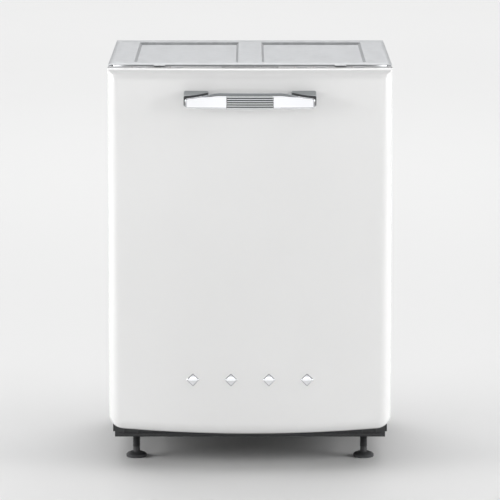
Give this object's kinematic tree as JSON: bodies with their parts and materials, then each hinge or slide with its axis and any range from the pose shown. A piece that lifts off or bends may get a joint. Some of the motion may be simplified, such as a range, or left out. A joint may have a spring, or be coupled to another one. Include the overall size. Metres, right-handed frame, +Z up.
{
  "type": "built in dishwasher",
  "caption": "Built-in dishwasher with a bowed gloss white drop-down door, a bowed chrome bar handle with a ribbed middle, sliding racks and spray arms inside a steel tub.",
  "frame": {"origin": "on the floor, under the middle of the machine's box", "axes": "+X to the right seen from the front, +Y to the back, +Z up"},
  "size_m": [0.596, 0.669, 0.86],
  "materials": {
    "white_enamel": "gloss white stove enamel on sheet steel",
    "chrome": "polished chrome plate",
    "stainless": "satin stainless sheet",
    "fascia_steel": "brushed stainless strip",
    "button_steel": "silver painted plastic caps",
    "galvanised_steel": "bare zinc coated sheet",
    "spring_steel": "oiled spring steel and zinc screws",
    "base_plastic": "black moulded polypropylene",
    "grey_plastic": "mid grey moulded polypropylene",
    "light_plastic": "off white moulded polypropylene",
    "blue_plastic": "blue moulded plastic for the pieces a hand turns",
    "rack_coating": "grey nylon coating on steel wire",
    "seal_rubber": "dark rubber seal",
    "pump_casing": "motor casing",
    "felt": "dark sound deadening felt"
  },
  "bodies": {
    "cabinet": {"base_pan": "base_plastic", "side_panel_left": "galvanised_steel", "side_panel_right": "galvanised_steel", "top_cover": "galvanised_steel", "rear_panel": "galvanised_steel", "tub_wall_left": "stainless", "tub_wall_right": "stainless", "tub_ceiling": "stainless", "tub_back": "stainless", "tub_floor": "stainless", "door_seal": "seal_rubber", "sump": "grey_plastic", "circulation_pump": "pump_casing", "drain_pump": "base_plastic", "water_softener": "light_plastic", "flat_filter": "stainless", "inlet_valve": "light_plastic", "drain_spigot": "base_plastic", "power_inlet": "base_plastic", "feed_pipe": "grey_plastic", "ceiling_sprayer": "grey_plastic", "hinge_bracket_left": "galvanised_steel", "hinge_bracket_right": "galvanised_steel", "door_springs": "spring_steel", "worktop_brackets": "galvanised_steel", "rail_channels": "stainless", "insulation_pads": "felt", "cabinet_screws": "spring_steel"},
    "door": {"door_panel": "white_enamel", "door_liner": "stainless", "control_fascia": "fascia_steel", "handle_bar": "chrome", "handle_posts": "chrome", "trim_studs": "chrome", "dispenser_body": "grey_plastic", "door_latch": "base_plastic", "hinge_levers": "galvanised_steel", "control_box": "light_plastic"},
    "detergent_lid": {"detergent_lid": "grey_plastic"},
    "rinse_aid_cap": {"rinse_aid_cap": "blue_plastic"},
    "salt_cap": {"salt_cap": "light_plastic"},
    "filter_cup": {"filter_cup": "blue_plastic"},
    "power_button": {"power_button": "button_steel"},
    "program_button": {"program_button": "button_steel"},
    "delay_button": {"delay_button": "button_steel"},
    "half_load_button": {"half_load_button": "button_steel"},
    "start_button": {"start_button": "button_steel"},
    "upper_slides": {"upper_slides": "stainless"},
    "upper_rack": {"upper_rack": "rack_coating"},
    "upper_spray_arm": {"upper_spray_arm": "grey_plastic"},
    "lower_spray_arm": {"lower_spray_arm": "grey_plastic"},
    "plate_tines": {"plate_tines": "rack_coating"},
    "cup_shelf": {"cup_shelf": "rack_coating"},
    "front_wheels": {"front_wheels": "grey_plastic"},
    "rear_wheels": {"rear_wheels": "grey_plastic"},
    "foot_front_left": {"foot_front_left": "base_plastic"},
    "foot_front_right": {"foot_front_right": "base_plastic"},
    "foot_rear": {"foot_rear": "base_plastic"},
    "lower_rack": {"lower_rack": "rack_coating", "cutlery_basket": "grey_plastic"}
  },
  "joints": [
    {"name": "door_hinge", "type": "hinge", "parent": "cabinet", "child": "door", "pos_m": [0, -0.2415, 0.15], "axis": [1, 0, 0], "range_deg": [0, 90], "stiffness_Nm_per_rad": 20},
    {"name": "upper_slides_travel", "type": "slide", "parent": "cabinet", "child": "upper_slides", "axis": [0, -1, 0], "range_m": [0, 0.2]},
    {"name": "upper_rack_travel", "type": "slide", "parent": "upper_slides", "child": "upper_rack", "axis": [0, -1, 0], "range_m": [0, 0.2]},
    {"name": "lower_rack_travel", "type": "slide", "parent": "cabinet", "child": "lower_rack", "axis": [0, -1, 0], "range_m": [0, 0.23]},
    {"name": "front_wheels_roll", "type": "hinge", "parent": "lower_rack", "child": "front_wheels", "pos_m": [0, -0.0815, 0.2083], "axis": [1, 0, 0], "continuous": true},
    {"name": "rear_wheels_roll", "type": "hinge", "parent": "lower_rack", "child": "rear_wheels", "pos_m": [0, 0.2195, 0.2083], "axis": [1, 0, 0], "continuous": true},
    {"name": "upper_spray_arm_spin", "type": "hinge", "parent": "upper_rack", "child": "upper_spray_arm", "pos_m": [0, 0.0395, 0.492], "axis": [0, 0, 1], "continuous": true},
    {"name": "lower_spray_arm_spin", "type": "hinge", "parent": "cabinet", "child": "lower_spray_arm", "pos_m": [0, 0.0395, 0.216], "axis": [0, 0, 1], "continuous": true},
    {"name": "plate_tines_fold", "type": "hinge", "parent": "lower_rack", "child": "plate_tines", "pos_m": [0, 0.1195, 0.252], "axis": [-1, 0, 0], "range_deg": [0, 85]},
    {"name": "cup_shelf_fold", "type": "hinge", "parent": "upper_rack", "child": "cup_shelf", "pos_m": [-0.228, 0.0345, 0.585], "axis": [0, -1, 0], "range_deg": [0, 85]},
    {"name": "detergent_lid_slide", "type": "slide", "parent": "door", "child": "detergent_lid", "axis": [-1, 0, 0], "range_m": [0, 0.05]},
    {"name": "rinse_aid_cap_turn", "type": "hinge", "parent": "door", "child": "rinse_aid_cap", "pos_m": [0.082, -0.2165, 0.485], "axis": [0, 1, 0], "range_deg": [0, 90]},
    {"name": "salt_cap_turn", "type": "hinge", "parent": "cabinet", "child": "salt_cap", "pos_m": [-0.17, -0.0805, 0.19], "axis": [0, 0, 1], "range_deg": [0, 90]},
    {"name": "filter_cup_turn", "type": "hinge", "parent": "cabinet", "child": "filter_cup", "pos_m": [0.045, 0.0735, 0.19], "axis": [0, 0, 1], "range_deg": [0, 90]},
    {"name": "power_button_press", "type": "slide", "parent": "door", "child": "power_button", "axis": [0, 0, -1], "range_m": [0, 0.002], "stiffness_N_per_m": 500, "springref_m": -0.001},
    {"name": "program_button_press", "type": "slide", "parent": "door", "child": "program_button", "axis": [0, 0, -1], "range_m": [0, 0.002], "stiffness_N_per_m": 500, "springref_m": -0.001},
    {"name": "delay_button_press", "type": "slide", "parent": "door", "child": "delay_button", "axis": [0, 0, -1], "range_m": [0, 0.002], "stiffness_N_per_m": 500, "springref_m": -0.001},
    {"name": "half_load_button_press", "type": "slide", "parent": "door", "child": "half_load_button", "axis": [0, 0, -1], "range_m": [0, 0.002], "stiffness_N_per_m": 500, "springref_m": -0.001},
    {"name": "start_button_press", "type": "slide", "parent": "door", "child": "start_button", "axis": [0, 0, -1], "range_m": [0, 0.002], "stiffness_N_per_m": 500, "springref_m": -0.001},
    {"name": "foot_front_left_screw", "type": "slide", "parent": "cabinet", "child": "foot_front_left", "axis": [0, 0, 1], "range_m": [-0.03, 0.04]},
    {"name": "foot_front_right_screw", "type": "slide", "parent": "cabinet", "child": "foot_front_right", "axis": [0, 0, 1], "range_m": [-0.03, 0.04]},
    {"name": "foot_rear_screw", "type": "slide", "parent": "cabinet", "child": "foot_rear", "axis": [0, 0, 1], "range_m": [-0.03, 0.04]}
  ],
  "couplings": [
    {"joint": "upper_slides_travel", "follows": "door_hinge", "m_per_rad": 0.1273},
    {"joint": "upper_rack_travel", "follows": "door_hinge", "m_per_rad": 0.1273},
    {"joint": "lower_rack_travel", "follows": "door_hinge", "m_per_rad": 0.1464},
    {"joint": "front_wheels_roll", "follows": "door_hinge", "ratio": 8.1333},
    {"joint": "rear_wheels_roll", "follows": "door_hinge", "ratio": 8.1333}
  ]
}
